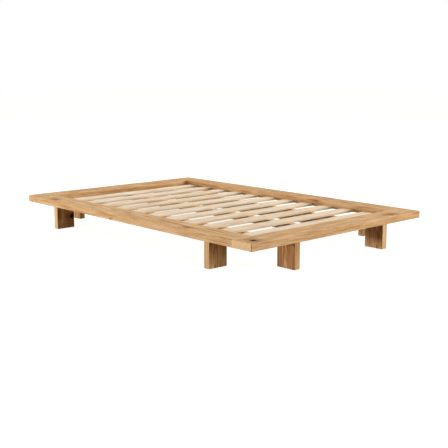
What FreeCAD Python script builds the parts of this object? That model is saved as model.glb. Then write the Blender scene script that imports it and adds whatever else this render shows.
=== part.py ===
import FreeCAD, Part
import os
from math import atan2, cos, pi, tan

# Low platform bed for a 1200 x 2000 mattress, in millimetres.
# A flat frame of wide oak rails stands on eight short oak boards. Pine slats lie inside it, below the
# rails' top, on three pine bearers that run from the foot end to the head end.
# Origin: on the floor, under the middle of the bed. X runs across the bed, +Y to the head end, +Z up.
# The foot end's left quarter is built, and its pieces are mirrored to the other three quarters.

os.makedirs("parts", exist_ok=True)

Vector = FreeCAD.Vector
ACROSS = Vector(1, 0, 0)
ALONG = Vector(0, 1, 0)
UP = Vector(0, 0, 1)
ORIGIN = Vector(0, 0, 0)
same = 1e-4                      # two places nearer than this are one place

# ---- Mattress and frame ------------------------------------------------------------------------
mattress_width = 1200.0
mattress_length = 2000.0
mattress_clearance = 10.0        # room on each side of the mattress
rail_width = 150.0
rail_thickness = 45.0
bed_height = 200.0               # floor to the rails' top
edge_radius = 3.0                # softened long edges of rails and legs
corner_radius = 6.0              # the frame's four upright outer corners

# ---- Legs: boards on end, two near each corner ---------------------------------------------------
leg_width = 134.0
leg_thickness = 44.0
leg_inset = 7.0                  # outer narrow edge of a leg behind the rail's outer face
leg_setback = 340.0              # from the frame's corner to the leg's nearer broad face
leg_foot_radius = 2.0            # softened edge round the foot of a leg

# ---- Slats -----------------------------------------------------------------------------------------
slat_count = 11
slat_width = 88.0
slat_thickness = 16.0
slat_radius = 3.0
slat_end_clearance = 3.0         # from a slat's end to the side rail
head_margin = 47.0               # from the head rail to the first slat
foot_margin = 97.0               # from the foot rail to the last slat

# ---- Bearers under the slats --------------------------------------------------------------------
bearer_thickness = 30.0          # outer bearers, in line with the end legs
bearer_depth = 80.0
bearer_end_depth = 35.0
bearer_seat_spare = 8.0          # level wood past the bracket under each end
bearer_taper = 110.0             # length of the sloping cut behind that seat
taper_blend_radius = 60.0        # blends the sloping cut into the straight edges
centre_bearer_thickness = 45.0
centre_bearer_depth = 40.0
bearer_radius = 2.0

# ---- Pegs that hold the slats in place -------------------------------------------------------------
peg_radius = 5.0
peg_length = 29.0
peg_cover = 7.0                  # wood left above a peg in the slat
peg_clearance = 0.2              # round a peg in the slat, and at both of its ends

# ---- Dowelled corners ------------------------------------------------------------------------------
dowels_per_corner = 3
dowel_radius = 6.0
dowel_length = 60.0
dowel_spacing = 45.0
glue_gap = 0.1                   # round a dowel, and at both of its ends

# ---- Steel plates, straps and brackets -----------------------------------------------------------
plate_thickness = 4.0
plate_corner_radius = 8.0
corner_plate_width = 96.0        # across the side rail
corner_plate_length = 150.0      # over the seam
corner_screw_gauge_x = 56.0
corner_screw_gauge_y = 100.0
leg_plate_width = 60.0
leg_plate_ear = 28.0             # stands out on each side of the leg
leg_plate_clearance = 0.3        # round the plate in the leg's housing
leg_screw_spacing = 34.0
leg_screw_length = 60.0
strap_width = 32.0
strap_length = 150.0             # half under the rail, half let into the centre bearer
strap_screw_margin = 16.0        # from a screw to the strap's end
strap_screw_spacing = 36.0
bracket_thickness = 3.0
bracket_flange = 40.0
bracket_bend_radius = 3.0        # inside the bend
bracket_side_gap = 3.0           # from the bracket's edge to the bearer's face
bracket_screw_margin = 8.0       # from the outer screw to the flange's end
bracket_screw_spacing = 16.0
bracket_screw_length = 25.0

# ---- Screws, bolts and inserts: threads are left plain --------------------------------------------
screw_radius = 2.5
screw_head_radius = 4.9
screw_head_depth = 2.5
screw_tip = 4.0
wood_over_screw = 12.0           # wood left between a screw's tip and the rail's top
bolt_radius = 4.0
bolt_head_radius = 7.0
bolt_head_height = 4.4
bolt_head_round = 1.5
bolt_hole_clearance = 0.5
insert_radius = 6.0
insert_length = 18.0
thread_clearance = 0.05
bolt_tip_gap = 3.0               # from the bolt's tip to the bottom of its hole

# ---- Worked out from the sizes above --------------------------------------------------------------
opening_width = mattress_width + 2 * mattress_clearance
opening_length = mattress_length + 2 * mattress_clearance
bed_width = opening_width + 2 * rail_width
bed_length = opening_length + 2 * rail_width
underside = bed_height - rail_thickness          # of the rails, and of the slats on the bearers
slat_top = underside + slat_thickness
slat_pitch = (opening_length - head_margin - foot_margin - slat_width) / (slat_count - 1)
first_slat = opening_length / 2 - head_margin - slat_width / 2
slat_places = [first_slat - index * slat_pitch for index in range(slat_count)]
end_leg_line = bed_width / 2 - leg_setback - leg_thickness / 2       # X of the legs under the end rails
side_leg_line = bed_length / 2 - leg_setback - leg_thickness / 2     # Y of the legs under the side rails
bearer_end = bed_length / 2 - leg_inset - leg_width                  # inner edge of an end leg
plate_bottom = underside - plate_thickness
rail_screw_length = plate_thickness + rail_thickness - wood_over_screw
rail_middle = opening_width / 2 + rail_width / 2


# ---- Tools ------------------------------------------------------------------------------------------
def block(low, high):
    """Square-edged block between two opposite corners."""
    size = high - low
    return Part.makeBox(size.x, size.y, size.z, low)


def rod(radius, start, run):
    """Round bar from start, as long as the vector run."""
    return Part.makeCylinder(radius, run.Length, start, run)


def moved(shape, by, turn=0.0):
    """Copy of a shape, turned about the upright axis at the origin and then moved."""
    copy = shape.copy()
    copy.rotate(ORIGIN, UP, turn)
    copy.translate(by)
    return copy


def left_and_right(shape):
    return {"left": shape, "right": shape.mirror(ORIGIN, ACROSS)}


def foot_and_head(shape):
    return {"foot": shape, "head": shape.mirror(ORIGIN, ALONG)}


def four_corners(shape):
    """The foot end's left piece and its three mirror images, by name."""
    corners = {}
    for end, at_end in foot_and_head(shape).items():
        for side, at_side in left_and_right(at_end).items():
            corners[end + "_" + side] = at_side
    return corners


def everywhere(shapes):
    """Each of the given shapes at all four corners."""
    return [copy for shape in shapes for copy in four_corners(shape).values()]


def both_ends(shapes):
    return [copy for shape in shapes for copy in foot_and_head(shape).values()]


def middle(edge):
    return edge.valueAt((edge.FirstParameter + edge.LastParameter) / 2)


def runs_along(edge, axis):
    """True where an edge is straight and parallel to the axis."""
    run = edge.Vertexes[-1].Point - edge.Vertexes[0].Point
    return run.cross(axis).Length < same < edge.Length and abs(run.Length - edge.Length) < same


def level_with(edge, height):
    return all(abs(vertex.Z - height) < same for vertex in edge.Vertexes)


def rounded(solid, radius, wanted):
    """Round each edge for which wanted(edge) is true."""
    return solid.makeFillet(radius, [edge for edge in solid.Edges if wanted(edge)])


def save(name, solids):
    """Write one node: a single solid, or a group of like solids."""
    for solid in solids:
        if not solid.isValid() or solid.Volume <= 0:
            raise ValueError("bad solid in " + name)
    shape = solids[0] if len(solids) == 1 else Part.makeCompound(solids)
    shape.exportStep("parts/" + name + ".step")
    print(name, len(solids), "solid(s)")


# ---- Fasteners --------------------------------------------------------------------------------------
def wood_screw(length, head, direction):
    """Countersunk screw: its head's flat face is centred on head, and it points along direction."""
    outline = Part.makePolygon([
        ORIGIN,
        Vector(screw_head_radius, 0, 0),
        Vector(screw_radius, 0, screw_head_depth),
        Vector(screw_radius, 0, length - screw_tip),
        Vector(0, 0, length),
        ORIGIN,
    ])
    screw = Part.Face(outline).revolve(ORIGIN, UP, 360)
    screw.Placement = FreeCAD.Placement(head, FreeCAD.Rotation(UP, direction))
    return screw


def rail_screw(x, y):
    """Screw driven up through a plate under the rails."""
    return wood_screw(rail_screw_length, Vector(x, y, plate_bottom), UP)


def leg_bolt(x, y):
    """Button-head bolt that comes up through a leg plate's ear into the rail."""
    grip = plate_thickness + insert_length
    head = rod(bolt_head_radius, Vector(x, y, plate_bottom), UP * -bolt_head_height)
    rim = plate_bottom - bolt_head_height
    head = rounded(head, bolt_head_round, lambda edge: level_with(edge, rim))
    return head.fuse(rod(bolt_radius, Vector(x, y, plate_bottom), UP * grip))


def sheet_plate(width, length, centre):
    """Flat plate under the rails with rounded corners, width along X and length along Y."""
    half = Vector(width / 2, length / 2, 0)
    low = centre - half
    high = centre + half + UP * plate_thickness
    return rounded(block(low, high), plate_corner_radius, lambda edge: runs_along(edge, UP))


# ---- A leg and its fixings ---------------------------------------------------------------------------
# Built with the outer narrow edge on the X axis, and the board's width running to +Y. A steel plate is
# let into the leg's top and screwed down, and its two ears are bolted up into inserts in the rail.
plate_centre = Vector(0, leg_width / 2, plate_bottom)
leg_plate_span = leg_thickness + 2 * leg_plate_ear
leg_board = block(Vector(-leg_thickness / 2, 0, 0), Vector(leg_thickness / 2, leg_width, underside))
leg_board = rounded(leg_board, edge_radius, lambda edge: runs_along(edge, UP))
leg_board = rounded(leg_board, leg_foot_radius, lambda edge: level_with(edge, 0))
housing_width = leg_plate_width + 2 * leg_plate_clearance
leg_board = leg_board.cut(block(
    plate_centre - Vector(leg_thickness, housing_width / 2, 0),
    plate_centre + Vector(leg_thickness, housing_width / 2, rail_thickness),
))

leg_plate = sheet_plate(leg_plate_span, leg_plate_width, plate_centre)
leg_screws = []
for step in (-leg_screw_spacing / 2, leg_screw_spacing / 2):
    head = Vector(0, leg_width / 2 + step, underside)
    leg_screws.append(wood_screw(leg_screw_length, head, -UP))
for screw in leg_screws:
    leg_board = leg_board.cut(screw)
    leg_plate = leg_plate.cut(screw)

leg_bolts = []
leg_inserts = []
insert_holes = []
ear_middle = leg_thickness / 2 + leg_plate_ear / 2
for x in (-ear_middle, ear_middle):
    leg_bolts.append(leg_bolt(x, leg_width / 2))
    foot = Vector(x, leg_width / 2, underside)
    thread = rod(bolt_radius + thread_clearance, foot, UP * insert_length)
    leg_inserts.append(rod(insert_radius, foot, UP * insert_length).cut(thread))
    insert_holes.append(rod(insert_radius, foot, UP * (insert_length + bolt_tip_gap)))
    bolt_hole = rod(bolt_radius + bolt_hole_clearance, foot - UP * plate_thickness, UP * plate_thickness)
    leg_plate = leg_plate.cut(bolt_hole)


def under_end_rail(shape):
    return moved(shape, Vector(-end_leg_line, -bed_length / 2 + leg_inset, 0))


def under_side_rail(shape):
    return moved(shape, Vector(-bed_width / 2 + leg_inset, -side_leg_line, 0), -90)


def all_legs(shapes):
    """The leg's fixings at all eight legs."""
    return everywhere([place(shape) for shape in shapes for place in (under_end_rail, under_side_rail)])


for corner, leg in four_corners(under_side_rail(leg_board)).items():
    save("side_leg_" + corner, [leg])
save("leg_plates", all_legs([leg_plate]))
save("leg_screws", all_legs(leg_screws))
save("leg_bolts", all_legs(leg_bolts))
save("rail_inserts", all_legs(leg_inserts))

# ---- Corner joints --------------------------------------------------------------------------------
# The end rails run the full width, and the side rails butt against them. Beech dowels cross each seam,
# and a steel plate is screwed under it.
seam = -opening_length / 2
corner_dowels = []
dowel_holes = []
dowel_run = ALONG * (dowel_length / 2)
dowel_height = underside + rail_thickness / 2
for index in range(dowels_per_corner):
    step = (index - (dowels_per_corner - 1) / 2) * dowel_spacing
    centre = Vector(-rail_middle + step, seam, dowel_height)
    corner_dowels.append(rod(dowel_radius, centre - dowel_run, dowel_run * 2))
    hole_run = dowel_run + ALONG * glue_gap
    dowel_holes.append(rod(dowel_radius + glue_gap, centre - hole_run, hole_run * 2))

corner_plate = sheet_plate(
    corner_plate_width, corner_plate_length, Vector(-rail_middle, seam, plate_bottom))
corner_screws = []
for across in (-corner_screw_gauge_x / 2, corner_screw_gauge_x / 2):
    for along in (-corner_screw_gauge_y / 2, corner_screw_gauge_y / 2):
        corner_screws.append(rail_screw(-rail_middle + across, seam + along))
for screw in corner_screws:
    corner_plate = corner_plate.cut(screw)

save("corner_dowels", everywhere(corner_dowels))
save("corner_plates", everywhere([corner_plate]))
save("corner_screws", everywhere(corner_screws))

# ---- Straps of the centre bearer ----------------------------------------------------------------------
# A strap lies half under the end rail and half in the bearer's top. The rail's screws come up from
# below, and the bearer's go down.
strap = sheet_plate(strap_width, strap_length, Vector(0, seam, plate_bottom))
strap_rail_screws = []
strap_bearer_screws = []
for index in range(2):
    reach = strap_length / 2 - strap_screw_margin - index * strap_screw_spacing
    strap_rail_screws.append(rail_screw(0, seam - reach))
    head = Vector(0, seam + reach, underside)
    strap_bearer_screws.append(wood_screw(bracket_screw_length, head, -UP))
for screw in strap_rail_screws + strap_bearer_screws:
    strap = strap.cut(screw)
save("bearer_straps", both_ends([strap]))
save("strap_screws", both_ends(strap_rail_screws + strap_bearer_screws))


# ---- Rails ----------------------------------------------------------------------------------------
def edge_cutter(length):
    """Bar that rounds a square edge on the X axis, where the wood lies at -Y and -Z."""
    start = Vector(0, -edge_radius, 0)
    end = Vector(0, 0, -edge_radius)
    reach = -edge_radius * (1 - cos(pi / 4))
    arc = Part.Arc(start, Vector(0, reach, reach), end).toShape()
    outline = Part.Wire([Part.makeLine(ORIGIN, start), arc, Part.makeLine(end, ORIGIN)])
    return Part.Face(outline).extrude(ACROSS * length)


def end_rail():
    """Foot rail: full-width board with all outer edges soft, and inner ones only along the opening."""
    outer = -bed_length / 2
    rail = block(Vector(-bed_width / 2, outer, underside), Vector(bed_width / 2, seam, bed_height))

    def upright_outer(edge):
        return runs_along(edge, UP) and abs(middle(edge).y - outer) < same

    def outer_rim(edge):
        inner = runs_along(edge, ACROSS) and abs(middle(edge).y - seam) < same
        return not inner and (level_with(edge, bed_height) or level_with(edge, underside))

    rail = rounded(rail, corner_radius, upright_outer)
    rail = rounded(rail, edge_radius, outer_rim)
    top_edge = moved(edge_cutter(opening_width), Vector(-opening_width / 2, seam, bed_height))
    low_edge = top_edge.mirror(Vector(0, 0, underside + rail_thickness / 2), UP)
    return rail.cut(top_edge).cut(low_edge)


def side_rail():
    """Left side rail: a board with four soft long edges and square ends."""
    low = Vector(-bed_width / 2, -opening_length / 2, underside)
    high = Vector(-opening_width / 2, opening_length / 2, bed_height)
    return rounded(block(low, high), edge_radius, lambda edge: runs_along(edge, ALONG))


foot_rail = end_rail()
end_fixings = [under_end_rail(hole) for hole in insert_holes] + dowel_holes + corner_screws
for fixing in end_fixings:
    for hole in left_and_right(fixing).values():
        foot_rail = foot_rail.cut(hole)
for screw in strap_rail_screws:
    foot_rail = foot_rail.cut(screw)
for end, rail in foot_and_head(foot_rail).items():
    save(end + "_rail", [rail])

left_rail = side_rail()
side_fixings = [under_side_rail(hole) for hole in insert_holes] + dowel_holes + corner_screws
for hole in both_ends(side_fixings):
    left_rail = left_rail.cut(hole)
for side, rail in left_and_right(left_rail).items():
    save("side_rail_" + side, [rail])

# ---- Slats and their pegs ---------------------------------------------------------------------------
peg_top = slat_top - peg_cover - peg_clearance
peg_bottom = peg_top - peg_length


def peg_hole(x, y):
    """Blind hole that takes a whole peg, in the slat and in the bearer below it."""
    foot = Vector(x, y, peg_bottom - peg_clearance)
    return rod(peg_radius + peg_clearance, foot, UP * (peg_length + 2 * peg_clearance))


slat_half = opening_width / 2 - slat_end_clearance
for number, y in enumerate(slat_places, 1):
    low = Vector(-slat_half, y - slat_width / 2, underside)
    high = Vector(slat_half, y + slat_width / 2, slat_top)
    slat = rounded(block(low, high), slat_radius, lambda edge: runs_along(edge, ACROSS))
    for hole in left_and_right(peg_hole(-end_leg_line, y)).values():
        slat = slat.cut(hole)
    save("slat_{:02d}".format(number), [slat])

pegs = []
for y in slat_places:
    peg = rod(peg_radius, Vector(-end_leg_line, y, peg_bottom), UP * peg_length)
    pegs.extend(left_and_right(peg).values())
save("slat_pegs", pegs)

# ---- Brackets under the outer bearers' ends ---------------------------------------------------------
# Bent steel angle: one flange under the bearer's end, the other down the end leg's inner edge.
seat = underside - bearer_end_depth


def bracket_point(reach, drop):
    """Point in the bracket's side view, from the corner between bearer and leg."""
    return Vector(-end_leg_line, -bearer_end + reach, seat - drop)


def bend_arc(radius, centre):
    """Quarter turn of the bend, from the upright flange to the level one."""
    start = centre + ALONG * -radius
    halfway = centre + Vector(0, -cos(pi / 4) * radius, cos(pi / 4) * radius)
    return Part.Arc(start, halfway, centre + UP * radius).toShape()


outer_bend = bracket_bend_radius + bracket_thickness
bend_centre = bracket_point(outer_bend, outer_bend)
outer_turn = bend_arc(outer_bend, bend_centre)
inner_turn = bend_arc(bracket_bend_radius, bend_centre)
outline = [
    bracket_point(0, bracket_flange),
    outer_turn.Vertexes[0].Point,
    outer_turn.Vertexes[-1].Point,
    bracket_point(bracket_flange, 0),
    bracket_point(bracket_flange, bracket_thickness),
    inner_turn.Vertexes[-1].Point,
    inner_turn.Vertexes[0].Point,
    bracket_point(bracket_thickness, bracket_flange),
]
bracket_edges = [
    Part.makeLine(outline[0], outline[1]),
    outer_turn,
    Part.makeLine(outline[2], outline[3]),
    Part.makeLine(outline[3], outline[4]),
    Part.makeLine(outline[4], outline[5]),
    inner_turn,
    Part.makeLine(outline[6], outline[7]),
    Part.makeLine(outline[7], outline[0]),
]
bracket_width = bearer_thickness - 2 * bracket_side_gap
bracket = Part.Face(Part.Wire(bracket_edges)).extrude(ACROSS * bracket_width)
bracket.translate(ACROSS * (-bracket_width / 2))

bearer_screws = []
leg_edge_screws = []
for index in range(2):
    reach = bracket_flange - bracket_screw_margin - index * bracket_screw_spacing
    up_head = bracket_point(reach, bracket_thickness)
    bearer_screws.append(wood_screw(bracket_screw_length, up_head, UP))
    leg_head = bracket_point(bracket_thickness, reach)
    leg_edge_screws.append(wood_screw(bracket_screw_length, leg_head, -ALONG))
end_leg = under_end_rail(leg_board)
for screw in leg_edge_screws:
    end_leg = end_leg.cut(screw)
for screw in bearer_screws + leg_edge_screws:
    bracket = bracket.cut(screw)
for corner, leg in four_corners(end_leg).items():
    save("end_leg_" + corner, [leg])
save("bearer_brackets", everywhere([bracket]))
save("bracket_screws", everywhere(bearer_screws + leg_edge_screws))


# ---- Bearers ----------------------------------------------------------------------------------------
def outer_bearer():
    """Left bearer: a board on edge whose ends are cut up to the seat on the brackets."""
    bottom = underside - bearer_depth
    slope = atan2(seat - bottom, bearer_taper)
    flat_end = bearer_end - bracket_flange - bearer_seat_spare - taper_blend_radius * tan(slope / 2)
    slope_end = flat_end - bearer_taper
    side_view = [
        (-bearer_end, underside), (bearer_end, underside), (bearer_end, seat), (flat_end, seat),
        (slope_end, bottom), (-slope_end, bottom), (-flat_end, seat), (-bearer_end, seat),
        (-bearer_end, underside),
    ]
    low_x = -end_leg_line - bearer_thickness / 2
    outline = Part.makePolygon([Vector(low_x, y, z) for y, z in side_view])
    bearer = Part.Face(outline).extrude(ACROSS * bearer_thickness)
    inside = bearer_end - same

    def taper_corner(edge):
        return runs_along(edge, ACROSS) and abs(middle(edge).y) < inside

    def long_edge(edge):
        return not runs_along(edge, ACROSS) and not runs_along(edge, UP)

    bearer = rounded(bearer, taper_blend_radius, taper_corner)
    return rounded(bearer, bearer_radius, long_edge)


left_bearer = outer_bearer()
for y in slat_places:
    left_bearer = left_bearer.cut(peg_hole(-end_leg_line, y))
for screw in both_ends(bearer_screws):
    left_bearer = left_bearer.cut(screw)
for side, bearer in left_and_right(left_bearer).items():
    save("bearer_" + side, [bearer])

centre_bearer = block(
    Vector(-centre_bearer_thickness / 2, seam, underside - centre_bearer_depth),
    Vector(centre_bearer_thickness / 2, -seam, underside),
)
centre_bearer = rounded(centre_bearer, bearer_radius, lambda edge: runs_along(edge, ALONG))
for fixing in both_ends([strap] + strap_bearer_screws):
    centre_bearer = centre_bearer.cut(fixing)
save("bearer_centre", [centre_bearer])
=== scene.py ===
from math import cos, radians, sin

import bmesh
import bpy
from mathutils import Matrix, Vector


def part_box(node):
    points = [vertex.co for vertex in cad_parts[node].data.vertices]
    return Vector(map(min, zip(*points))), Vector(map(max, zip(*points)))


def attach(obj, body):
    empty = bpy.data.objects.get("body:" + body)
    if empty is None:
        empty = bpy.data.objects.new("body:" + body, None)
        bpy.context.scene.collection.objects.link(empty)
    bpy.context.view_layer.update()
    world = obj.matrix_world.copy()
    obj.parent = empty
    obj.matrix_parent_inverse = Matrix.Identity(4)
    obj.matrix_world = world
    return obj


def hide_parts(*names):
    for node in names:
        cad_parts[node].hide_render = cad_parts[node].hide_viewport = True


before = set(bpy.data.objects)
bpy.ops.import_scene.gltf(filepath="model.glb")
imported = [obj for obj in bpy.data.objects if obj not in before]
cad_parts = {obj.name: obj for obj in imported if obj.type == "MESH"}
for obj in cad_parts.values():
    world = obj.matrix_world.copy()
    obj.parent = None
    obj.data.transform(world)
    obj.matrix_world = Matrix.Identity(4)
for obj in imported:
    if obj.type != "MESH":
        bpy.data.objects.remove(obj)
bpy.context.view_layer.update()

# ---- Camera --------------------------------------------------------------------------------------
# The photograph looks from beyond the foot end's left corner, a little over a metre above the floor,
# with a long lens. The place is in metres from the bed's origin, on the floor under its middle.
camera_place = Vector((-3.6057, -4.0573, 1.0637))
camera_azimuth = 42.476          # degrees, from the head end towards the bed's right
camera_pitch = 10.592            # degrees down
camera_lens = 64.32              # millimetres, as is the sensor's width
camera_sensor = 36.0

lens = bpy.data.cameras.new("camera")
lens.lens = camera_lens
lens.sensor_width = camera_sensor
camera = bpy.data.objects.new("camera", lens)
camera.location = camera_place
camera.rotation_euler = (radians(90 - camera_pitch), 0.0, radians(-camera_azimuth))
bpy.context.scene.collection.objects.link(camera)
bpy.context.scene.camera = camera

# ---- End rails -----------------------------------------------------------------------------------
# Solid European oak boards laid flat across the head and the foot, planed and sanded, with the edges
# and the four outer corners softened by hand. They keep the CAD model's shape.
MM = 0.001                       # the scene is in metres, and a piece's own sizes in millimetres
X, Y, Z = 0, 1, 2                # the bed's axes: across it, along it to the head end, and up

# What all planed timber here has in common.
log_wander = (140.0, 1100.0)     # size of the bends in a log, across and along it, in millimetres
year_scale = 45.0                # how often good and bad years change, to the metre of the log's radius
year_shift = 2.5                 # how many rings' width they shift a ring
ring_end = 0.12                  # the share of a ring in which dark late wood ends
pore_range = (0.60, 0.72)        # of the noise, from closed wood to an open pore
fibre_range = (0.3, 0.7)         # of the noise, from a smooth fibre to a rough one
cut_end_range = (0.75, 0.95)     # how squarely a face looks along the grain, from a side to a cut end
pore_depth = 0.7                 # a pore's depth for a fibre's height
wood_bump = 0.35
wood_ior = 1.5


def linear(hex_colour):
    """Linear colour of an sRGB hex value."""
    channels = [int(hex_colour[place:place + 2], 16) / 255 for place in (1, 3, 5)]
    return [c / 12.92 if c <= 0.04045 else ((c + 0.055) / 1.055) ** 2.4 for c in channels] + [1.0]


def add(tree, kind, sockets=None, stops=(), **settings):
    """Add one shader node with its settings, its colour stops, and a value or a link for its sockets.

    A MapRange maps its socket 0 from the range of 1 and 2 to that of 3 and 4. A colour Mix takes its
    share at 0 and its colours at 6 and 7, and gives its colour at output 2.
    """
    node = tree.nodes.new("ShaderNode" + kind)
    for name, value in settings.items():
        setattr(node, name, value)
    for index, (position, colour) in enumerate(stops):
        elements = node.color_ramp.elements
        element = elements[index] if index < 2 else elements.new(position)
        element.position = position
        element.color = linear(colour)
    for socket, value in (sockets or {}).items():
        if isinstance(value, bpy.types.Node):
            value = value.outputs[0]
        if isinstance(value, bpy.types.NodeSocket):
            tree.links.new(value, node.inputs[socket])
        else:
            node.inputs[socket].default_value = value
    return node


def blank(name):
    """A new material with an empty node tree."""
    material = bpy.data.materials.new(name)
    material.use_nodes = True
    material.node_tree.nodes.clear()
    return material, material.node_tree


def dress(node, material):
    """Give a CAD node its finish."""
    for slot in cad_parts[node].material_slots:
        slot.material = material


def board(node, timber, grain, wide, pith, tilt, seed, tone=0.0, knots=()):
    """Make the timber of one board, as it was cut from its own place in a log, and dress the board in it.

    grain and wide are the axes that the grain and the board's width follow. pith is where the log's
    centre lies from the board's middle, across the width and through the thickness, in millimetres.
    tilt is how far the log leans along the board, in radians. seed is the place in the log, and tone
    darkens the whole board. A knot is its place in the bed and its radius, in millimetres, how long it
    is for its width, and how dark its core is.
    """
    material, tree = blank(timber["name"] + ", " + node)
    thick = X + Y + Z - grain - wide
    low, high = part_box(node)
    centre = (low + high) / 2

    def stretch(size):
        """Mapping scale for a pattern of the given width and length in millimetres."""
        width, length = size
        return 1 / (width * MM), 1 / (length * MM), 1 / (width * MM)

    place = add(tree, "TexCoord").outputs["Object"]
    axes = add(tree, "SeparateXYZ", {0: place}).outputs
    turned = add(tree, "CombineXYZ", {0: axes[wide], 1: axes[grain], 2: axes[thick]})
    middle = Vector((centre[wide], centre[grain], centre[thick]))
    local = add(tree, "VectorMath", {0: turned, 1: middle}, operation="SUBTRACT")
    place_in_log = (seed * 1.7, seed * 3.1, seed * 0.9)
    own = add(tree, "VectorMath", {0: local, 1: place_in_log}, operation="ADD")

    # Each knot is a small dark core, and the fibres swerve round it.
    swerve = None
    core = None
    for x, y, z, radius, length, darkness in knots:
        spot = Vector((x, y, z)) * MM
        squeeze = [1.0, 1.0, 1.0]
        squeeze[grain] = 1 / length
        core_inside = radius * 0.6 * MM
        core_outside = radius * 1.1 * MM
        swerve_outside = radius * 3.5 * MM
        offset = add(tree, "VectorMath", {0: place, 1: spot}, operation="SUBTRACT")
        offset = add(tree, "VectorMath", {0: offset, 1: squeeze}, operation="MULTIPLY")
        near = add(tree, "VectorMath", {0: offset}, operation="LENGTH").outputs["Value"]
        dark = add(tree, "MapRange", {0: near, 1: core_inside, 2: core_outside, 3: darkness, 4: 0.0},
                   interpolation_type="SMOOTHSTEP")
        bend = add(tree, "MapRange", {0: near, 1: 0.0, 2: swerve_outside, 3: 1.0, 4: 0.0},
                   interpolation_type="SMOOTHERSTEP")
        swerve = add(tree, "Math", {0: swerve, 1: bend}, operation="MAXIMUM") if swerve else bend
        core = add(tree, "Math", {0: core, 1: dark}, operation="MAXIMUM") if core else dark

    # The log wanders slowly along the board, and the rings follow it.
    drift = add(tree, "Mapping", {"Vector": own, "Scale": stretch(log_wander)})
    drift = add(tree, "TexNoise", {"Vector": drift, "Scale": 1.0, "Detail": 2.0, "Roughness": 0.5})
    drift = add(tree, "VectorMath", {0: drift.outputs["Color"], 1: (0.5, 0.5, 0.5)},
                operation="SUBTRACT")
    drift = add(tree, "VectorMath", {0: drift, 3: timber["wander"] * MM}, operation="SCALE")
    log = add(tree, "Mapping", {
        "Vector": local,
        "Location": (-pith[0] * MM, 0.0, -pith[1] * MM),
        "Rotation": (tilt[1], 0.0, tilt[0]),
    })
    log = add(tree, "VectorMath", {0: log, 1: drift}, operation="ADD")
    log = add(tree, "VectorMath", {0: log, 1: (1.0, 0.0, 1.0)}, operation="MULTIPLY")
    depth = add(tree, "VectorMath", {0: log}, operation="LENGTH").outputs["Value"]
    if swerve:
        depth = add(tree, "Math", {0: swerve, 1: timber["swerve"] * MM, 2: depth},
                    operation="MULTIPLY_ADD")

    # Growth rings of uneven width: each darkens slowly to its late wood, and starts pale again.
    years = add(tree, "TexNoise", {"W": depth, "Scale": year_scale, "Detail": 1.0},
                noise_dimensions="1D")
    ring = add(tree, "Math", {0: depth, 1: 1 / (timber["ring"] * MM)}, operation="MULTIPLY")
    ring = add(tree, "Math", {0: years, 1: year_shift, 2: ring}, operation="MULTIPLY_ADD")
    ring = add(tree, "Math", {0: ring}, operation="FRACT")
    late = add(tree, "MapRange", {0: ring, 1: timber["early"], 2: 1.0, 3: 0.0, 4: 1.0},
               interpolation_type="SMOOTHSTEP")
    drop = add(tree, "MapRange", {0: ring, 1: 0.0, 2: ring_end, 3: 1.0, 4: 0.0},
               interpolation_type="SMOOTHSTEP")
    late = add(tree, "Math", {0: late, 1: drop}, operation="MAXIMUM")

    # Broad soft streaks of colour, and fine fibres, both far longer than wide.
    streak = add(tree, "Mapping", {"Vector": own, "Scale": stretch(timber["streak"])})
    streak = add(tree, "TexNoise", {"Vector": streak, "Scale": 1.0, "Detail": 4.0, "Roughness": 0.6,
                                    "Distortion": 0.3})
    fibre = add(tree, "Mapping", {"Vector": own, "Scale": stretch(timber["fibre"])})
    fibre = add(tree, "TexNoise", {"Vector": fibre, "Scale": 1.0, "Detail": 3.0, "Roughness": 0.65})

    # Shade of the wood from 0, pale, to 1, dark. It is even about the board's tone.
    shares = timber["ring_share"] + timber["streak_share"] + timber["fibre_share"]
    shade = 0.5 + tone - shares / 2
    for pattern, share in (late, "ring_share"), (streak, "streak_share"), (fibre, "fibre_share"):
        shade = add(tree, "Math", {0: pattern, 1: timber[share], 2: shade}, operation="MULTIPLY_ADD")
    if swerve:
        shade = add(tree, "Math", {0: swerve, 1: timber["knot_halo"], 2: shade},
                    operation="MULTIPLY_ADD")
    faces = add(tree, "SeparateXYZ", {0: add(tree, "TexCoord").outputs["Normal"]}).outputs
    # Painted light: the narrow edges are drawn paler than the broad faces, so that the sides come out as
    # bright as the tops.
    painted_edge_mask = add(tree, "Math", {0: faces[wide]}, operation="ABSOLUTE")
    shade = add(tree, "Math", {0: painted_edge_mask, 1: -timber["painted_edge_light"], 2: shade},
                operation="MULTIPLY_ADD")
    colour = add(tree, "ValToRGB", {0: shade}, stops=timber["colours"])

    # Dark pores, drawn as short dashes along the grain and as dots on the end grain.
    pore = add(tree, "Mapping", {"Vector": own, "Scale": stretch(timber["pore"])})
    pore = add(tree, "TexNoise", {"Vector": pore, "Scale": 1.0, "Detail": 1.0})
    pore = add(tree, "MapRange", {0: pore, 1: pore_range[0], 2: pore_range[1], 3: 0.0, 4: 1.0})
    pore_tint = add(tree, "Math", {0: pore, 1: timber["pore_share"]}, operation="MULTIPLY")
    colour = add(tree, "Mix", {0: pore_tint, 6: colour, 7: linear(timber["pore_colour"])},
                 data_type="RGBA")

    # Cut ends are sanded finer than the faces and stay paler.
    on_end = add(tree, "Math", {0: faces[grain]}, operation="ABSOLUTE")
    cut_end = add(tree, "MapRange", {0: on_end, 1: cut_end_range[0], 2: cut_end_range[1], 3: 0.0,
                                     4: timber["end_share"]})
    colour = add(tree, "Mix", {0: cut_end, 6: colour.outputs[2], 7: linear(timber["end_colour"])},
                 data_type="RGBA")
    if core:
        colour = add(tree, "Mix", {0: core, 6: colour.outputs[2], 7: linear(timber["knot_colour"])},
                     data_type="RGBA")

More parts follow.
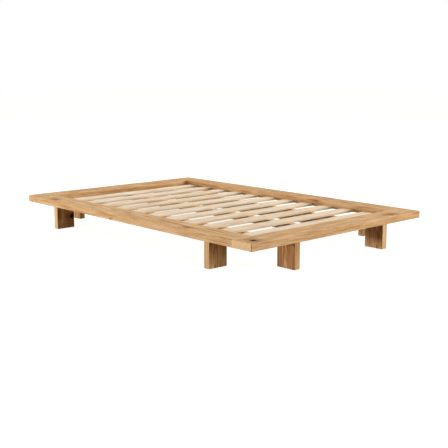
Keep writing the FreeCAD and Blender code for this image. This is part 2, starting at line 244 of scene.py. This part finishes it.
    # Rough where fibres and pores open, smoother between them, and roughest on a knot's end grain.
    smooth, rough = timber["rough"]
    roughness = add(tree, "MapRange", {0: fibre, 1: fibre_range[0], 2: fibre_range[1], 3: smooth,
                                       4: rough})
    if core:
        roughness = add(tree, "Math", {0: roughness, 1: core}, operation="MAXIMUM")
    relief = add(tree, "Math", {0: pore, 1: -pore_depth, 2: fibre}, operation="MULTIPLY_ADD")
    bump = add(tree, "Bump", {"Strength": wood_bump, "Distance": timber["relief"] * MM,
                              "Height": relief})
    surface = add(tree, "BsdfPrincipled", {
        "Base Color": colour.outputs[2],
        "Roughness": roughness,
        "IOR": wood_ior,
        "Specular IOR Level": timber["gloss"],
        "Normal": bump,
    })
    add(tree, "OutputMaterial", {"Surface": surface})
    dress(node, material)


# European oak, planed, sanded and oiled: a golden brown with a satin face. The eye gets soft light and
# dark streaks 15 to 30 mm wide, growth rings about 4 mm apart in long arches, and short dark pores.
# Real pores are 0.3 mm wide and fibres finer still. Both are drawn over 1 mm wide so that they show.
#
# A timber's patterns have their width and length in millimetres, as have ring, wander, swerve and
# relief. early is the pale share of a ring. The shares of ring, streak, fibre and pore are how much each
# darkens the wood, painted_edge_light is how much paler the narrow edges are drawn as painted light,
# so that the sides look as bright as the tops, and end_share is how far the cut ends go to their own
# colour.
oak = {
    "name": "oiled oak",
    "colours": [(0.0, "#EBC899"), (1.0, "#996735"), (0.35, "#DBB07D"), (0.65, "#C4945D")],
    "ring": 4.2, "early": 0.25, "ring_share": 0.40,
    "streak": (17.0, 230.0), "streak_share": 1.9,
    "fibre": (2.0, 100.0), "fibre_share": 0.6,
    "pore": (1.1, 17.0), "pore_share": 0.35, "pore_colour": "#8A5C35",
    "end_colour": "#F6D5A4", "end_share": 0.72, "painted_edge_light": 0.14,
    "wander": 26.0, "swerve": 26.0, "knot_halo": 0.55, "knot_colour": "#2B1406",
    "rough": (0.58, 0.74), "gloss": 0.20, "relief": 0.35,
}

board("foot_rail", oak, X, Y, pith=(20, -70), tilt=(0.010, 0.016), seed=1.3, tone=0.02,
      knots=[(-692, -1106, 200, 19, 1.35, 1.0), (514, -1115, 200, 18, 1.7, 0.45)])
# The head rail's end grain took more oil, and hardly stands out from its faces.
board("head_rail", dict(oak, end_share=0.3), X, Y, pith=(-30, -85), tilt=(0.012, -0.012), seed=2.9,
      tone=0.10)

# ---- Side rails ----------------------------------------------------------------------------------
# Boards of the same oak between the end rails and level with them. Their square ends butt against the
# end rails, with glued dowels across the seams and steel plates under them.
board("side_rail_left", oak, Y, X, pith=(15, -75), tilt=(-0.012, 0.014), seed=4.1, tone=-0.02,
      knots=[(-720, 849, 200, 13, 2.4, 0.7), (-717, -580, 200, 13, 2.2, 0.5),
             (-760, 119, 160, 6, 2.0, 0.6)])
# The right rail's darker tone is painted shade, for the shade on its inner face.
board("side_rail_right", oak, Y, X, pith=(-25, -80), tilt=(0.010, -0.015), seed=5.7, tone=0.15,
      knots=[(601, -408, 200, 12, 1.8, 0.5), (752, -416, 200, 12, 2.4, 0.8)])

# ---- Legs ----------------------------------------------------------------------------------------
# Eight short oak boards on end, two near each corner, each with its narrow edge just behind the rail's
# outer face. Their grain runs upright. Their narrow edges are drawn paler than their faces as painted
# light, and most legs' tones darken them as painted shade, for the shade under the bed.
leg_oak_painted_light = dict(oak, painted_edge_light=0.32)
# A leg's tone here is mostly painted shade, for the shade under the bed.
legs = {                         # the axis of the width, then pith, tilt, seed, tone and knots
    "side_leg_foot_left": (X, (-20, -60), (0.05, 0.03), 9.2, 0.20, []),
    "side_leg_head_left": (X, (30, -60), (0.03, 0.05), 7.9, 0.08, [(-634, 777, 80, 23, 1.0, 1.0)]),
    "side_leg_foot_right": (X, (-10, 60), (0.03, 0.05), 12.6, 0.20, []),
    "side_leg_head_right": (X, (10, 60), (0.04, 0.03), 10.8, 0.20, []),
    "end_leg_foot_left": (Y, (10, -60), (0.05, 0.04), 14.1, 0.42, []),
    "end_leg_foot_right": (Y, (-20, -60), (0.04, 0.05), 15.7, 0.16, []),
    "end_leg_head_left": (Y, (20, 60), (0.05, 0.03), 17.3, 0.30, []),
    "end_leg_head_right": (Y, (-10, 60), (0.03, 0.04), 18.9, 0.20, []),
}
for node, (wide, pith, tilt, seed, tone, knots) in legs.items():
    board(node, leg_oak_painted_light, Z, wide, pith, tilt, seed, tone, knots)

# ---- Slats ---------------------------------------------------------------------------------------
# Eleven pine boards, planed with rounded edges, that lie loose on the bearers over their pegs.
# Planed pine without a finish is cream, matt and soft: wide faint rings 5 to 6 mm apart, pale streaks
# and few small brown knots. Its pores are hardly seen. Fibres are drawn coarser than the real ones.
pine = {
    "name": "planed pine",
    "colours": [(0.0, "#FFF1DA"), (1.0, "#D6AE7D"), (0.35, "#F9E5C9"), (0.7, "#EACDA5")],
    "ring": 5.5, "early": 0.45, "ring_share": 0.35,
    "streak": (20.0, 260.0), "streak_share": 1.5,
    "fibre": (2.4, 140.0), "fibre_share": 0.45,
    "pore": (1.1, 25.0), "pore_share": 0.10, "pore_colour": "#B98E5E",
    "end_colour": "#E2C69C", "end_share": 0.4, "painted_edge_light": 0.0,
    "wander": 22.0, "swerve": 20.0, "knot_halo": 0.45, "knot_colour": "#7A4A26",
    "rough": (0.66, 0.80), "gloss": 0.18, "relief": 0.3,
}
slat_count = 11
slat_knots = {3: [(470, 585, 171, 7, 1.6, 1.0)], 7: [(304, -170, 171, 7, 1.6, 1.0)]}
# The sines only spread the slats' places in the log and their tones, so that no two are alike.
for number in range(1, slat_count + 1):
    pith = (30 * sin(number * 2.3), -60 - 25 * cos(number * 1.7))
    tilt = (0.008 * sin(number * 1.1), 0.012 * cos(number * 2.9))
    seed = 20 + number * 1.37
    tone = 0.06 * sin(number * 5.1)
    board(f"slat_{number:02d}", pine, X, Y, pith, tilt, seed, tone, slat_knots.get(number, ()))

# ---- Bearers -------------------------------------------------------------------------------------
# Three lengths of the slats' pine on edge, from the foot end to the head end. The outer two taper up to
# steel brackets on the end legs, and the middle one hangs from straps under the end rails.
# The bearers' darker tone is painted shade, for the shadow that the slats cast on them.
bearer_shade_tone = 0.40               # darker than the slats: painted shade, for the shadow under and between the slats
for name, seed in {"left": 40.0, "centre": 41.9, "right": 43.8}.items():
    board("bearer_" + name, pine, Y, Z, (20, 55), (0.010, 0.012), seed, bearer_shade_tone)

# ---- Pegs and dowels -----------------------------------------------------------------------------
# Turned beech, glued across the corner seams and pushed into the bearers under the slats.
# Beech is pinkish brown and very even, with rings 2 mm apart and small flecks instead of pores. Its
# fibres and flecks are drawn coarser than the real ones.
beech = {
    "name": "turned beech",
    "colours": [(0.0, "#E8CBA6"), (1.0, "#BE9268"), (0.35, "#DDBB92"), (0.7, "#CFA67B")],
    "ring": 2.0, "early": 0.5, "ring_share": 0.3,
    "streak": (8.0, 90.0), "streak_share": 0.6,
    "fibre": (1.2, 40.0), "fibre_share": 0.3,
    "pore": (0.8, 4.0), "pore_share": 0.35, "pore_colour": "#A8794F",
    "end_colour": "#C99F74", "end_share": 0.5, "painted_edge_light": 0.0,
    "wander": 6.0, "swerve": 0.0, "knot_halo": 0.0, "knot_colour": "#7A4A26",
    "rough": (0.5, 0.62), "gloss": 0.3, "relief": 0.1,
}
board("slat_pegs", beech, Z, X, pith=(5, -30), tilt=(0.01, 0.01), seed=51.3)
board("corner_dowels", beech, Y, X, pith=(5, -30), tilt=(0.01, 0.01), seed=53.9)

# ---- Plates, straps and brackets -----------------------------------------------------------------
# Sheet steel, punched and zinc plated. Flat plates tie the corners and are let into the legs' tops,
# long straps hold the middle bearer, and small bent brackets hold the outer ones.
scratch_length = 30              # for its width
scratch_turn = 0.6               # radians from the bed's length
cloud_range = (0.35, 0.65)       # of the noise, from the metal's own colour to its cloud's
dull_range = (0.15, 0.35)        # of the clouds times the scratches, from the smoothest to the dullest
metal_bump = 0.25


def metal(name, colour, cloud_colour, rough, cloud, scratch, relief):
    """Plated or turned metal: soft clouds in its tint and roughness, and fine scratches.

    cloud, scratch and relief are the clouds' size and the scratches' width and depth in millimetres.
    """
    material, tree = blank(name)
    place = add(tree, "TexCoord").outputs["Object"]
    clouds = add(tree, "TexNoise", {"Vector": place, "Scale": 1 / (cloud * MM), "Detail": 4.0,
                                    "Roughness": 0.6})
    across = 1 / (scratch * MM)
    along = 1 / (scratch * scratch_length * MM)
    lines = add(tree, "Mapping", {"Vector": place, "Rotation": (0.0, 0.0, scratch_turn),
                                  "Scale": (across, along, across)})
    lines = add(tree, "TexNoise", {"Vector": lines, "Scale": 1.0, "Detail": 2.0, "Roughness": 0.5})
    tint = add(tree, "MapRange", {0: clouds, 1: cloud_range[0], 2: cloud_range[1], 3: 0.0, 4: 1.0})
    colour = add(tree, "Mix", {0: tint, 6: linear(colour), 7: linear(cloud_colour)},
                 data_type="RGBA")
    dull = add(tree, "Math", {0: clouds, 1: lines}, operation="MULTIPLY")
    dull = add(tree, "MapRange", {0: dull, 1: dull_range[0], 2: dull_range[1], 3: rough[0],
                                  4: rough[1]})
    bump = add(tree, "Bump", {"Strength": metal_bump, "Distance": relief * MM, "Height": lines})
    surface = add(tree, "BsdfPrincipled", {
        "Base Color": colour.outputs[2],
        "Metallic": 1.0,
        "Roughness": dull,
        "Normal": bump,
    })
    add(tree, "OutputMaterial", {"Surface": surface})
    return material


# Zinc over rolled sheet is light grey and matt, with bluish clouds a few centimetres across and faint
# scratches. Real scratches are 0.1 mm wide, and these are drawn 0.8 mm wide so that they show.
zinc_plated_sheet = metal("zinc-plated sheet steel", "#B9BDC1", "#A3AAB3", rough=(0.36, 0.58),
                          cloud=28.0, scratch=0.8, relief=0.05)
for node in ("corner_plates", "leg_plates", "bearer_straps", "bearer_brackets"):
    dress(node, zinc_plated_sheet)

# ---- Bolts ---------------------------------------------------------------------------------------
# Button-head bolts with a hexagon socket. Two come up through the ears of each leg's plate into
# threaded inserts in the rail, so that a leg can be taken off with one key.
bolt_radius = 4.0
bolt_reach = 22.0                # from under the head to the bolt's tip
bolt_tip_chamfer = 0.8
bolt_head_radius = 7.0
bolt_head_height = 4.4
bolt_crown_radius = 3.61         # the arc between the head's side and its flat top
bolt_crown_middle = (3.42, 0.87)     # its middle, from the bolt's axis and from under the head
bolt_crown_start = 8.5           # degrees up from level
bolt_crown_step = 17.25
bolt_crown_points = 5
bolt_key = 5.0                   # across the flats of the socket
bolt_socket_depth = 2.6
plate_bottom = 151.0             # height of the plates' lower face
end_leg_line = 398.0             # X of the legs under the end rails
end_leg_middle = 1086.0          # Y of their middle
side_leg_line = 798.0            # Y of the legs under the side rails
side_leg_middle = 686.0          # X of their middle
ear_middle = 36.0                # from a leg's middle plane to the bolt in its plate's ear
same_place = 1e-3                # millimetres within which two points count as one


def turned_piece(outline, sides=28):
    """Mesh turned about the Z axis from an outline of (radius, height) points."""
    mesh = bmesh.new()
    points = [mesh.verts.new((radius, 0.0, height)) for radius, height in outline]
    edges = [mesh.edges.new(pair) for pair in zip(points, points[1:])]
    bmesh.ops.spin(mesh, geom=points + edges, cent=(0, 0, 0), axis=(0, 0, 1), angle=radians(360),
                   steps=sides, use_merge=True)
    bmesh.ops.remove_doubles(mesh, verts=mesh.verts[:], dist=same_place)
    return mesh


def top_rim(mesh, height):
    """Open edges of a mesh at one height."""
    return [edge for edge in mesh.edges
            if edge.is_boundary and all(abs(vert.co.z - height) < same_place for vert in edge.verts)]


def pieces_at(name, groups, material):
    """One object of copies of millimetre meshes, each turned and set at its places in the bed."""
    joined = bmesh.new()
    for mesh, places in groups:
        bmesh.ops.recalc_face_normals(mesh, faces=mesh.faces[:])
        single = bpy.data.meshes.new(name + " single")
        mesh.to_mesh(single)
        mesh.free()
        for turn, place in places:
            into_bed = Matrix.Scale(MM, 4) @ Matrix.Translation(place) @ turn
            single.transform(into_bed)
            joined.from_mesh(single)
            single.transform(into_bed.inverted())
        bpy.data.meshes.remove(single)
    whole = bpy.data.meshes.new(name)
    joined.to_mesh(whole)
    joined.free()
    whole.materials.append(material)
    piece = bpy.data.objects.new(name, whole)
    bpy.context.scene.collection.objects.link(piece)
    return piece


def bolt_crown(step):
    """Point on the head's crown, to a tenth of a millimetre. The head points down."""
    angle = radians(bolt_crown_start + step * bolt_crown_step)
    radius = bolt_crown_middle[0] + bolt_crown_radius * cos(angle)
    height = bolt_crown_middle[1] + bolt_crown_radius * sin(angle)
    return round(radius, 1), -round(height, 1)


bolt = turned_piece([
    (0.0, bolt_reach),
    (bolt_radius - bolt_tip_chamfer, bolt_reach),
    (bolt_radius, bolt_reach - bolt_tip_chamfer),
    (bolt_radius, 0.0),
    (bolt_head_radius, 0.0),
    *[bolt_crown(step) for step in range(bolt_crown_points)],
])
head_rim = top_rim(bolt, -bolt_head_height)
socket = bmesh.ops.create_circle(
    bolt, segments=6, radius=bolt_key / 2 / cos(radians(30)),
    matrix=Matrix.Translation((0, 0, -bolt_head_height)))["verts"]
socket_rim = list({edge for vert in socket for edge in vert.link_edges})
bmesh.ops.bridge_loops(bolt, edges=head_rim + socket_rim)
walls = bmesh.ops.extrude_edge_only(bolt, edges=socket_rim)["geom"]
floor_verts = [item for item in walls if isinstance(item, bmesh.types.BMVert)]
floor_edges = [item for item in walls if isinstance(item, bmesh.types.BMEdge)]
bmesh.ops.translate(bolt, vec=(0, 0, bolt_socket_depth), verts=floor_verts)
bmesh.ops.edgeloop_fill(bolt, edges=[edge for edge in floor_edges if edge.is_boundary])

# Turned steel with bright zinc: smoother and a little darker than the sheet, with fine clouds. Its
# scratches are drawn 0.5 mm wide, coarser than the real ones, so that they show.
bright_zinc = metal("bright zinc-plated steel", "#B4B5B6", "#9C9FA6", rough=(0.24, 0.42),
                    cloud=6.0, scratch=0.5, relief=0.02)
upright = Matrix.Identity(4)
bolt_places = []
for side in (-1, 1):
    for end in (-1, 1):
        for ear in (-ear_middle, ear_middle):
            end_bolt = Vector((side * end_leg_line + ear, end * end_leg_middle, plate_bottom))
            side_bolt = Vector((side * side_leg_middle, end * side_leg_line + ear, plate_bottom))
            bolt_places += [(upright, end_bolt), (upright, side_bolt)]
bolts = pieces_at("button_head_bolts", [(bolt, bolt_places)], bright_zinc)
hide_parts("leg_bolts")
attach(bolts, "root")

# ---- Screws --------------------------------------------------------------------------------------
# Countersunk wood screws of zinc-plated steel with a cross recess, driven flush into the plates, straps
# and brackets. They go up into the rails and the outer bearers, and down into the legs and the middle
# bearer.
screw_radius = 2.5
screw_head_radius = 4.9
screw_head_depth = 2.5
screw_chamfer = 0.4              # breaks the head's edge, so that a fine ring shows round it
screw_tip = 4.0
cross_reach = 2.6                # from the head's middle to the end of a recess arm
cross_half = 0.55                # half an arm's width
cross_depth = 1.8
cross_taper = 0.6                # size of the recess at its bottom for that at its top
rail_screw_length = 37.0         # up through the corner plates and the straps into the rails
leg_screw_length = 60.0          # down into the legs' end grain
bearer_screw_length = 25.0       # into the bearers, and out into the end legs' inner edges
wood_top = 155.0                 # height of the rails' lower face and the plates' upper one
seam = 1010.0                    # Y of the seam between end and side rails
side_rail_middle = 685.0         # X of the side rails' middle
corner_gauge = (28.0, 50.0)      # from there and from the seam to a corner plate's screws
leg_gauge = 17.0                 # from a leg's middle to its screws
strap_reaches = (59.0, 23.0)     # from the seam to a strap's screws, to both sides
bearer_end = 1019.0              # Y of the outer bearers' ends
bearer_seat = 120.0              # height of their lower face there
bracket_thickness = 3.0
bracket_reaches = (32.0, 16.0)   # from a bracket's bend to its screws, along both flanges


def wood_screw(length):
    """Screw along +Z, in millimetres, whose flat head lies at the origin."""
    screw = turned_piece([
        (0.0, length),
        (screw_radius, length - screw_tip),
        (screw_radius, screw_head_depth),
        (screw_head_radius, screw_chamfer),
        (screw_head_radius - screw_chamfer, 0.0),
    ], sides=24)
    rim = top_rim(screw, 0.0)
    cells_across = 3             # the cross takes the middle row and the middle column
    grid = bmesh.ops.create_grid(screw, x_segments=cells_across, y_segments=cells_across,
                                 size=cross_reach)["verts"]
    for vert in grid:
        for axis in (X, Y):
            if abs(vert.co[axis]) < cross_reach / 2:
                vert.co[axis] *= cross_half / (cross_reach / cells_across)
    cells = list({face for vert in grid for face in vert.link_faces})
    outline = [edge for edge in {edge for face in cells for edge in face.edges} if edge.is_boundary]
    bmesh.ops.bridge_loops(screw, edges=rim + outline)
    arms = [face for face in cells
            if min(abs(c) for c in face.calc_center_median()[:2]) < same_place]
    sunk = bmesh.ops.extrude_face_region(screw, geom=arms)["geom"]
    bmesh.ops.delete(screw, geom=arms, context="FACES")
    bottom = [item for item in sunk if isinstance(item, bmesh.types.BMVert)]
    bmesh.ops.scale(screw, vec=(cross_taper, cross_taper, 1.0), verts=bottom)
    bmesh.ops.translate(screw, vec=(0, 0, cross_depth), verts=bottom)
    return screw


def mirrored(x, y, z):
    """The four places that mirror one across the bed and along it."""
    return [Vector((side * x, end * y, z)) for side in (-1, 1) for end in (-1, 1)]


downward = Matrix.Rotation(radians(180), 4, "X")
corner_places = [(upright, place)
                 for x in (side_rail_middle - corner_gauge[0], side_rail_middle + corner_gauge[0])
                 for y in (seam - corner_gauge[1], seam + corner_gauge[1])
                 for place in mirrored(x, y, plate_bottom)]
leg_places = [(downward, place) for step in (-leg_gauge, leg_gauge)
              for place in (mirrored(end_leg_line, end_leg_middle + step, wood_top)
                            + mirrored(side_leg_middle + step, side_leg_line, wood_top))]
rail_strap_places = [(upright, Vector((0, end * (seam + reach), plate_bottom)))
                     for end in (-1, 1) for reach in strap_reaches]
bearer_strap_places = [(downward, Vector((0, end * (seam - reach), wood_top)))
                       for end in (-1, 1) for reach in strap_reaches]
bracket_places = [(upright, place) for reach in bracket_reaches
                  for place in mirrored(end_leg_line, bearer_end - reach,
                                        bearer_seat - bracket_thickness)]
for drop in bracket_reaches:
    for place in mirrored(end_leg_line, bearer_end - bracket_thickness, bearer_seat - drop):
        outward = Matrix.Rotation(radians(-90 if place.y > 0 else 90), 4, "X")
        bracket_places.append((outward, place))

for node, lengths in {
    "corner_screws": {rail_screw_length: corner_places},
    "leg_screws": {leg_screw_length: leg_places},
    "strap_screws": {rail_screw_length: rail_strap_places, bearer_screw_length: bearer_strap_places},
    "bracket_screws": {bearer_screw_length: bracket_places},
}.items():
    groups = [(wood_screw(length), places) for length, places in lengths.items()]
    screws = pieces_at("countersunk_" + node, groups, bright_zinc)
    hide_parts(node)
    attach(screws, "root")

# ---- Threaded inserts ----------------------------------------------------------------------------
# Turned brass sleeves screwed up into the rails over the bolts. Only their lower rims can be seen.
# Brass is a warm yellow with fine turning marks, and it dulls a little in the air. The marks are drawn
# 0.5 mm wide, coarser than the real ones, so that they show.
turned_brass = metal("turned brass", "#CDA95B", "#B8924A", rough=(0.28, 0.45),
                     cloud=5.0, scratch=0.5, relief=0.02)
dress("rail_inserts", turned_brass)

# ---- Floor ---------------------------------------------------------------------------------------
# A plain white studio floor that runs out into the backdrop. The camera sees it white, with the bed's
# faint soft shadow and a faint painted shade beyond the head end's right corner, and it throws a little
# warm light back up under the bed.
floor_reach = 40.0               # metres, as are the lengths below
floor_near = 1.8                 # from the bed's middle to where the floor starts to get whiter
floor_far = 5.0                  # and to where it is fully white
floor_near_white = 0.92
# The middle, half size and fade below place a painted shade: a soft warm grey patch in the floor's own
# glow, beyond the head end's right corner.
painted_shade_middle = (0.66, 1.32, 0.0)     # a faint warm shade beyond the head end's right corner
painted_shade_half = (0.20, 0.10, 0.0)   # half the size of its full middle part
painted_shade_fade = 0.75                # from there to where it ends
floor_white = "#FFFEFC"
painted_shade_colour = "#E7E1D7"
paint_colour = "#959595"         # what the lamps light of the floor that is seen
bounce_colour = "#866130"        # what the floor throws back at the bed

floor_grid = bmesh.new()
bmesh.ops.create_grid(floor_grid, x_segments=1, y_segments=1, size=floor_reach)
floor_mesh = bpy.data.meshes.new("floor")
floor_grid.to_mesh(floor_mesh)
floor_grid.free()
floor = bpy.data.objects.new("floor", floor_mesh)
bpy.context.scene.collection.objects.link(floor)


def seen_directly(tree):
    """1 for a ray from the camera, a reflection or glass, and 0 for light on its way to the object."""
    rays = add(tree, "LightPath").outputs
    seen = add(tree, "Math", {0: rays["Is Camera Ray"], 1: rays["Is Glossy Ray"]},
               operation="MAXIMUM")
    return add(tree, "Math", {0: seen, 1: rays["Is Transmission Ray"]}, operation="MAXIMUM")


floor_paint, tree = blank("white floor paint")
place = add(tree, "TexCoord").outputs["Object"]
away = add(tree, "VectorMath", {0: place}, operation="LENGTH").outputs["Value"]
far = add(tree, "MapRange", {0: away, 1: floor_near, 2: floor_far, 3: floor_near_white, 4: 1.0},
          interpolation_type="SMOOTHSTEP")
# Painted shade: inside a soft box beyond the head end's right corner, the glow turns from white towards
# the painted shade colour.
beyond = add(tree, "VectorMath", {0: place, 1: painted_shade_middle}, operation="SUBTRACT")
beyond = add(tree, "VectorMath", {0: beyond}, operation="ABSOLUTE")
beyond = add(tree, "VectorMath", {0: beyond, 1: painted_shade_half}, operation="SUBTRACT")
beyond = add(tree, "VectorMath", {0: beyond}, operation="MAXIMUM")
beyond = add(tree, "VectorMath", {0: beyond}, operation="LENGTH").outputs["Value"]
shade = add(tree, "MapRange", {0: beyond, 1: 0.0, 2: painted_shade_fade, 3: 1.0, 4: 0.0},
            interpolation_type="SMOOTHERSTEP")
glow = add(tree, "Mix", {0: shade, 6: linear(floor_white), 7: linear(painted_shade_colour)},
           data_type="RGBA")
glow = add(tree, "Emission", {"Color": glow.outputs[2], "Strength": far})
paint = add(tree, "BsdfDiffuse", {"Color": linear(paint_colour)})
white = add(tree, "AddShader", {0: paint, 1: glow})
bounce = add(tree, "BsdfDiffuse", {"Color": linear(bounce_colour)})
shown = add(tree, "MixShader", {0: seen_directly(tree), 1: bounce, 2: white})
add(tree, "OutputMaterial", {"Surface": shown})
floor_mesh.materials.append(floor_paint)

# ---- Backdrop ------------------------------------------------------------------------------------
# White all round where the camera or a reflection sees it. All other light from it is a dim warm fill,
# which stands in for the light that a room's walls send back.
fill_colour = "#FFE7C4"
fill_strength = 0.045
backdrop_colour = "#FFFFFF"

world = bpy.data.worlds.new("studio")
world.use_nodes = True
tree = world.node_tree
tree.nodes.clear()
fill = add(tree, "Background", {"Color": linear(fill_colour), "Strength": fill_strength})
backdrop = add(tree, "Background", {"Color": linear(backdrop_colour), "Strength": 1.0})
sky = add(tree, "MixShader", {0: seen_directly(tree), 1: fill, 2: backdrop})
add(tree, "OutputWorld", {"Surface": sky})
bpy.context.scene.world = world

# ---- Lamps ---------------------------------------------------------------------------------------
# Softboxes stand round the bed, all the same distance from its origin, and face its middle. The low
# ones light the rails' sides and leave shadows between the slats. The high ones light the tops, most of
# all from the right and the head end.
softboxes = {            # degrees round from +X, degrees up, width and height in metres, watts
    "head_left_low": (155, 2.9, 2.0, 0.8, 580),
    "left_low": (180, 2.9, 2.0, 0.8, 80),
    "foot_left_low": (240, 12.0, 3.5, 3.5, 20),
    "foot_right_low": (300, 12.0, 3.5, 3.5, 625),
    "right_high": (0, 40.0, 4.9, 4.9, 470),
    "head_high": (90, 40.0, 4.9, 4.9, 360),
    "head_left_high": (150, 40.0, 4.9, 4.9, 140),
    "foot_high": (270, 40.0, 4.9, 4.9, 115),
}
lamp_distance = 10.0
bed_middle = Vector((0.0, 0.0, 0.1))
for name, (around, up, width, height, watts) in softboxes.items():
    lamp = bpy.data.lights.new(name, "AREA")
    lamp.energy = watts
    lamp.shape = "RECTANGLE"
    lamp.size = width
    lamp.size_y = height
    stand = bpy.data.objects.new(name, lamp)
    level = lamp_distance * cos(radians(up))
    stand.location = (
        level * cos(radians(around)),
        level * sin(radians(around)),
        lamp_distance * sin(radians(up)),
    )
    stand.rotation_euler = (bed_middle - stand.location).to_track_quat("-Z", "Y").to_euler()
    stand.visible_camera = False
    bpy.context.scene.collection.objects.link(stand)

bpy.context.scene.view_settings.view_transform = "Standard"
